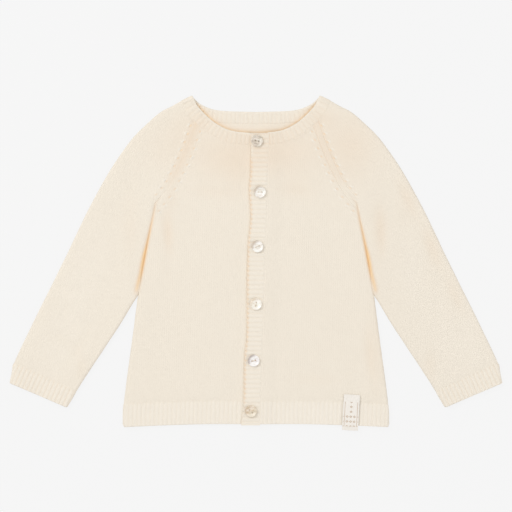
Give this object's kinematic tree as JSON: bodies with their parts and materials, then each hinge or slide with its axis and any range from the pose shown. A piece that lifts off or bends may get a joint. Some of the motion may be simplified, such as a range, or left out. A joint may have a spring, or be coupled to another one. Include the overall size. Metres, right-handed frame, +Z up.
{
  "type": "knitted baby cardigan laid flat",
  "caption": "Cream knitted baby cardigan with raglan sleeves, ribbed edges, a buttoned front and a small folded hem label, laid flat on its back.",
  "frame": {"origin": "middle of the underside of the box round the whole cardigan, on the surface that it lies on", "axes": "+Z up off that surface, +Y from the hem towards the neck, +X towards the wearer's left sleeve"},
  "size_m": [0.5216, 0.3552, 0.0094],
  "materials": {
    "wool": "soft matt fine stockinette knit, cream",
    "ribbed_wool": "soft matt knit-one purl-one rib, cream",
    "shell": "polished grey-white mother of pearl",
    "brown_shell": "polished brown shell",
    "ribbon": "woven off-white ribbon"
  },
  "bodies": {
    "root": {"back": "wool", "front_left": "wool", "front_right": "wool", "sleeve_left": "wool", "sleeve_right": "wool", "neckband": "ribbed_wool", "band_left": "ribbed_wool", "band_right": "ribbed_wool", "button_1": "shell", "button_2": "shell", "button_3": "shell", "button_4": "shell", "button_5": "shell", "button_6": "brown_shell", "label": "ribbon"}
  },
  "joints": []
}
